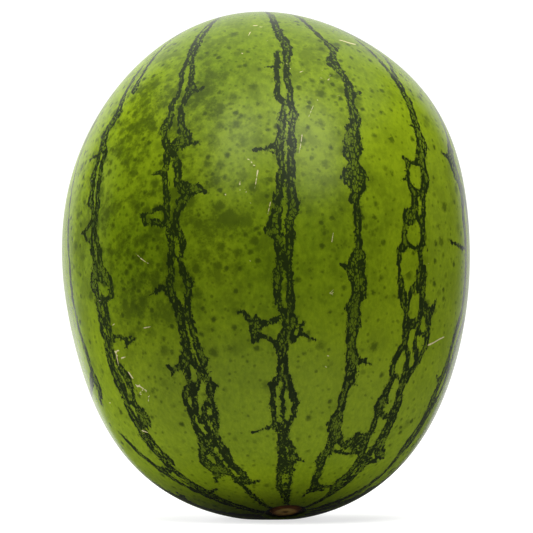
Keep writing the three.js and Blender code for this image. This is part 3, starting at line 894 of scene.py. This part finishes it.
# Adds a node, to the rind if no other tree is named, with inputs that are links from other nodes or
# plain values.
def addNode(kind, inputs=None, tree=rind.node_tree, **settings):
    node = tree.nodes.new("ShaderNode" + kind)
    for name, value in settings.items():
        setattr(node, name, value)
    for name, value in (inputs or {}).items():
        if isinstance(value, bpy.types.NodeSocket):
            tree.links.new(value, node.inputs[name])
        else:
            node.inputs[name].default_value = value
    return node


def compute(operation, *values):
    return addNode("Math", dict(enumerate(values)), operation=operation).outputs[0]


def computeVector(operation, a, b):
    return addNode("VectorMath", {0: a, 1: b}, operation=operation).outputs[0]


def remap(value, fromLow, fromHigh, toLow=0.0, toHigh=1.0, smooth=False):
    limits = {"From Min": fromLow, "From Max": fromHigh, "To Min": toLow, "To Max": toHigh}
    kind = "SMOOTHSTEP" if smooth else "LINEAR"
    node = addNode("MapRange", {"Value": value, **limits}, interpolation_type=kind)
    return node.outputs["Result"]


def mixColour(amount, a, b):
    a, b = (c if isinstance(c, bpy.types.NodeSocket) else (*c, 1) for c in (a, b))
    return addNode("Mix", {0: amount, 6: a, 7: b}, data_type="RGBA").outputs[2]


def noise(where, size, detail=3.0, roughness=0.55, distortion=0.0):
    inputs = {"Vector": where, "Scale": 1000 / size, "Detail": detail, "Roughness": roughness,
              "Distortion": distortion}
    return addNode("TexNoise", inputs).outputs["Fac"]


# (noise - 0.5) amount, which wavers about zero.
def waver(where, size, amount, detail=2.0, roughness=0.55):
    return compute("MULTIPLY", compute("SUBTRACT", noise(where, size, detail, roughness), 0.5), amount)


# A colour that changes with a distance.
def colourRamp(distance, stops):
    reach = rindLook["rampReach"]
    node = addNode("ValToRGB", {0: compute("DIVIDE", distance, reach)})
    ramp = node.color_ramp
    for at, colour in stops[2:]:
        ramp.elements.new(at / reach)
    for element, (at, colour) in zip(sorted(ramp.elements, key=lambda e: e.position), stops):
        element.position = at / reach
        element.color = (*colour, 1)
    return node.outputs["Color"]


# A number that follows another one through these points, from the first to the last.
def curve(value, points):
    low, high = points[0][0], points[-1][0]
    node = addNode("FloatCurve", {"Value": remap(value, low, high)})
    line = node.mapping.curves[0]
    line.points[0].location = (0, points[0][1])
    line.points[1].location = (1, points[-1][1])
    for at, level in points[1:-1]:
        line.points.new((at - low) / (high - low), level)
    for point in line.points:
        point.handle_type = "VECTOR"
    node.mapping.update()
    return node.outputs[0]


# The three numbers of an attribute.
def readParts(name):
    vector = addNode("Attribute", attribute_name=name).outputs["Vector"]
    return list(addNode("SeparateXYZ", {0: vector}).outputs)


# How deep a point lies inside the stripes: the smaller of each layer's two edge depths, and of all
# layers their smooth maximum, with ragged edges.
def stripeDepth(edges, nearest, flow):
    depth, *others = [compute("MINIMUM", left, right) for left, right in zip(edges[0::2], edges[1::2])]
    for other in others:
        depth = compute("SMOOTH_MAX", depth, other, rindLook["webbing"])
    depth = compute("MINIMUM", depth, compute("ADD", nearest, rindLook["webbingDepth"]))
    ragged = waver(flow, rindLook["edgeRaggedSize"], rindLook["edgeRagged"], 4, 0.65)
    return compute("ADD", depth, ragged)


# The net of dark lines in a stripe: the edges of small crooked cells, which are closed along the edges
# of a strand and open further in.
def netMask(depth, flow):
    look = rindLook
    inputs = {"Vector": flow, "Scale": 1000 / look["netCrookedSize"], "Detail": 2.0}
    crooked = addNode("TexNoise", inputs).outputs["Color"]
    shift = computeVector("SUBTRACT", crooked, (0.5, 0.5, 0.5))
    shift = computeVector("MULTIPLY", shift, (look["netCrooked"] / 1000,) * 3)
    net = computeVector("MULTIPLY", computeVector("ADD", flow, shift), look["netDrawnOut"])
    cells = addNode("TexVoronoi", {"Vector": net, "Scale": 1000 / look["netCell"]},
                    feature="DISTANCE_TO_EDGE").outputs["Distance"]
    swell = remap(noise(flow, look["netSwellSize"], 2), 0.3, 0.7, *look["netSwell"])
    line = compute("MULTIPLY", curve(depth, look["netLines"]), swell)
    return remap(compute("SUBTRACT", line, cells), 0.0, look["netBlur"], smooth=True)


# Long dark strokes over the net, thick along the edges of a strand and sparse further in.
def strokeMask(depth, flow):
    look = rindLook
    drawnOut = computeVector("MULTIPLY", flow, look["strokeDrawnOut"])
    grain = noise(drawnOut, look["strokeSize"], 3, 0.6, 0.5)
    bare = compute("SUBTRACT", curve(depth, look["strokes"]), 1.0)
    return remap(compute("ADD", grain, bare), 0.0, look["strokeBlur"], smooth=True)


# The skin between the stripes, from deep to pale, by a paleness that holds painted light and shade as
# well as the skin's own tone.
def skinColour(where, flow, palenessAndPaintedLight):
    look = rindLook
    blotches = waver(where, look["blotchSize"], look["blotchAmount"], 3, 0.6)
    mottle = waver(flow, look["mottleSize"], look["mottleAmount"], 4, 0.7)
    tone = compute("ADD", compute("ADD", palenessAndPaintedLight, blotches), mottle)
    return mixColour(remap(tone, 0, 1), look["skinDeep"], look["skinPale"])


# Blurred spots of a few sizes, and soft clouds where they crowd. A cell's own colour picks whether it
# holds a spot.
def spotMask(where, amount):
    look = rindLook
    clouds = noise(where, look["cloudSize"], 4, 0.7)
    clouds = remap(clouds, 0.43, 0.64, 0.0, look["cloudStrength"], smooth=True)
    spots = compute("MULTIPLY", clouds, amount)
    for size, radius, strength, least in look["spotKinds"]:
        cell = addNode("TexVoronoi", {"Vector": where, "Scale": 1000 / size})
        pick = addNode("SeparateColor", {0: cell.outputs["Color"]}).outputs[0]
        present = remap(compute("SUBTRACT", compute("ADD", amount, least), pick), -0.05, 0.2)
        wobble = waver(where, look["spotWobbleSize"], look["spotWobble"])
        away = compute("ADD", cell.outputs["Distance"], wobble)
        blot = compute("MULTIPLY", remap(away, radius, 0.1, smooth=True), present)
        spots = compute("MAXIMUM", spots, compute("MULTIPLY", blot, strength))
    return spots


# Where the corky marks are, with ragged edges.
def markMask(where, left, right, nearest):
    depth = compute("MINIMUM", left, right)
    depth = compute("MINIMUM", depth, compute("ADD", nearest, rindLook["markWebbingDepth"]))
    ragged = waver(where, rindLook["markRaggedSize"], rindLook["markRagged"], 2, 0.6)
    return remap(compute("ADD", depth, ragged), -0.05, 0.15, smooth=True)


# Paints the scar or the stub over the colour, in rings that are a little uneven.
def paintEnd(where, colour, distance, name):
    reach = rindLook[name + "Reach"]
    uneven = waver(where, rindLook["unevenSize"], rindLook[name + "Uneven"], 4, 0.65)
    away = compute("ADD", distance, uneven)
    onEnd = remap(away, reach + 1.0, reach - 0.4, smooth=True)
    return mixColour(onEnd, colour, colourRamp(away, rindLook[name]))


def paintRind():
    look = rindLook
    where = addNode("TexCoord").outputs["Object"]
    flow = addNode("Attribute", attribute_name="flow").outputs["Vector"]
    # the skin's tone here carries painted light and shade
    fromScar, fromStem, palenessAndPaintedLight = readParts("ends")
    *edges, nearest, spotsThere = [part for name in stripeAttributes for part in readParts(name)]

    depth = stripeDepth(edges, nearest, flow)
    veil = remap(depth, -0.7, 0.6, 0.0, look["veil"], smooth=True)
    dark = compute("MAXIMUM", netMask(depth, flow), strokeMask(depth, flow))
    spots = spotMask(where, spotsThere)
    marks = markMask(where, *readParts("cork"))
    colour = mixColour(spots, skinColour(where, flow, palenessAndPaintedLight), look["spot"])
    colour = mixColour(veil, colour, look["stripeVeil"])
    colour = mixColour(dark, colour, look["stripe"])
    colour = mixColour(marks, colour, look["mark"])
    colour = paintEnd(where, colour, fromScar, "scar")
    colour = paintEnd(where, colour, fromStem, "stem")

    pores = noise(where, look["poreSize"], 3, 0.6)
    bump = addNode("Bump", {"Height": pores, "Strength": look["poreStrength"],
                            "Distance": look["poreDepth"] / 1000}).outputs[0]
    shader = addNode("BsdfPrincipled", {"Base Color": colour, "Normal": bump,
                                        "Roughness": look["roughness"], "IOR": look["ior"]})
    addNode("OutputMaterial", {"Surface": shader.outputs[0]})


paintRind()
skinMesh.materials.append(rind)
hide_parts("watermelon")
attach(fruit, "root")
print("rind made")

# Studio: a pale floor and a white surround, a broad soft light overhead, one high in front, one on each
# side behind, and two soft boxes. A dark screen, unseen by the camera, keeps the surround's light off
# the front and the sides. Dark cards on the floor, dark from above only and casting no shadow, keep the
# floor's light off the fruit. Lengths are in metres.
studio = {
    "floorSize": 30.0,
    "floorColour": (0.40, 0.40, 0.40),
    "floorGlow": 0.70,
    "surround": 1.14,
    "aimedAt": (0, 0, 0.14),
    # name, place, size, power, and whether it shows in the fruit's gloss alone or never shows there
    "lights": [
        ("overhead", (0, -0.40, 1.72), (2.0, 2.0), 20.0, False),
        ("frontHigh", (0.06, -0.57, 1.16), (1.0, 0.78), 16.0, False),
        ("leftBehind", (-1.4, 0.75, 0.32), (0.8, 1.1), 63.0, False),
        ("rightBehind", (1.4, 0.75, 0.35), (0.8, 1.1), 15.0, False),
        ("softBoxLeft", (-0.29, -0.78, 1.06), (0.38, 0.72), 3.0, True),
        ("softBoxRight", (0.42, -0.72, 1.05), (0.48, 0.80), 5.0, True),
    ],
    "screenColour": (0.02, 0.02, 0.02),
    "screenRadius": 3.0,
    "screenTurns": (-139, 145),  # degrees from the front, to the left and to the right
    "screenTop": 48,  # degrees above the floor
    "cardColour": (0.045, 0.045, 0.045),
    "cardHeight": 0.0002,
    # from and to these distances from the fruit's middle, whether light that lands there softly meets it,
    # and its glow
    "cards": [(0.001, 0.079, True, 0.03), (0.079, 0.30, False, 0.0), (0.30, 3.0, True, 0.0)],
}


def makeMesh(name, corners, faces, paint):
    mesh = bpy.data.meshes.new(name)
    mesh.from_pydata(corners, [], faces)
    mesh.materials.append(paint)
    made = bpy.data.objects.new(name, mesh)
    bpy.context.collection.objects.link(made)
    return made


def plainPaint(name, colour, glow=0.0):
    paint = bpy.data.materials.new(name)
    paint.use_nodes = True
    shader = paint.node_tree.nodes["Principled BSDF"]
    shader.inputs["Base Color"].default_value = (*colour, 1)
    shader.inputs["Roughness"].default_value = 0.9
    shader.inputs["Emission Color"].default_value = (1, 1, 1, 1)
    shader.inputs["Emission Strength"].default_value = glow
    paint.cycles.emission_sampling = "NONE"
    return paint


def addAreaLight(name, place, size, power, inGloss):
    data = bpy.data.lights.new(name, "AREA")
    data.shape = "RECTANGLE"
    data.energy = power
    data.size, data.size_y = size
    light = bpy.data.objects.new(name, data)
    light.location = place
    light.rotation_mode = "QUATERNION"
    light.rotation_quaternion = (Vector(studio["aimedAt"]) - light.location).to_track_quat("-Z", "Y")
    light.visible_camera = False
    light.visible_glossy = inGloss
    light.visible_diffuse = not inGloss
    bpy.context.collection.objects.link(light)


# A patch of a round shell: its reach from the middle and its height, swept through these turns.
def sweep(name, reach, height, left, right, paint):
    turns = np.radians(np.linspace(left, right, 61))
    corners = [(r * math.sin(t), -r * math.cos(t), h) for r, h in zip(reach, height) for t in turns]
    n = len(turns)
    faces = [(i * n + j, i * n + j + 1, (i + 1) * n + j + 1, (i + 1) * n + j)
             for i in range(len(reach) - 1) for j in range(n - 1)]
    made = makeMesh(name, corners, faces, paint)
    made.visible_camera = False
    return made


# A plain paint that shows on a face's front and leaves its back clear.
def oneSidedPaint(name, colour, glow):
    paint = plainPaint(name, colour, glow)
    tree = paint.node_tree
    front = tree.nodes["Principled BSDF"].outputs[0]
    clear = addNode("BsdfTransparent", tree=tree).outputs[0]
    isBack = addNode("NewGeometry", tree=tree).outputs["Backfacing"]
    mixed = addNode("MixShader", {0: isBack, 1: front, 2: clear}, tree).outputs[0]
    tree.links.new(mixed, tree.nodes["Material Output"].inputs["Surface"])
    return paint


def makeScreen():
    rise = np.radians(np.linspace(0, studio["screenTop"], 13))
    reach, height = studio["screenRadius"] * np.cos(rise), studio["screenRadius"] * np.sin(rise)
    sweep("screen", reach, height, *studio["screenTurns"], plainPaint("screenPaint", studio["screenColour"]))


# The innermost card goes all the way round, and the others as far as the screen.
def makeCards():
    height = [studio["cardHeight"]] * 2
    for i, (near, far, takesAll, glow) in enumerate(studio["cards"]):
        turns = (-180, 180) if i == 0 else studio["screenTurns"]
        paint = oneSidedPaint(f"cardPaint{i}", studio["cardColour"], glow)
        card = sweep(f"card{i}", [far, near], height, *turns, paint)
        card.visible_shadow = False
        card.visible_diffuse = takesAll


def makeStudio():
    half = studio["floorSize"] / 2
    corners = [(-half, -half, 0), (half, -half, 0), (half, half, 0), (-half, half, 0)]
    paint = plainPaint("floorPaint", studio["floorColour"], studio["floorGlow"])
    makeMesh("floor", corners, [(0, 1, 2, 3)], paint)
    world = bpy.data.worlds.new("surround")
    world.use_nodes = True
    world.node_tree.nodes["Background"].inputs["Strength"].default_value = studio["surround"]
    world.node_tree.nodes["Background"].inputs["Color"].default_value = (1, 1, 1, 1)
    bpy.context.scene.world = world
    for light in studio["lights"]:
        addAreaLight(*light)
    makeScreen()
    makeCards()


makeStudio()
print("studio made")

# The camera looks level along +Y from 2.4 m, and a pixel of the 533 by 533 frame is 0.55 mm there.
camera = {
    "distance": 2400.0,
    "millimetresPerPixel": 0.55,
    "framePixels": 533,
    "middleAt": (266.1, 262.0),
}


def makeCamera():
    data = bpy.data.cameras.new("camera")
    data.sensor_width = 36.0
    across = camera["framePixels"] * camera["millimetresPerPixel"]
    data.lens = camera["distance"] * data.sensor_width / across
    data.clip_start = 0.05
    data.clip_end = 60
    view = bpy.data.objects.new("camera", data)
    half = camera["framePixels"] / 2
    x = bodyMiddle[0] + (half - camera["middleAt"][0]) * camera["millimetresPerPixel"]
    z = bodyMiddle[2] - (half - camera["middleAt"][1]) * camera["millimetresPerPixel"]
    view.location = (x / 1000, -camera["distance"] / 1000 + bodyMiddle[1] / 1000, z / 1000)
    view.rotation_euler = (math.pi / 2, 0, 0)
    bpy.context.collection.objects.link(view)
    bpy.context.scene.camera = view


makeCamera()
bpy.context.scene.view_settings.view_transform = "Standard"
bpy.context.scene.view_settings.look = "None"
bpy.context.view_layer.update()
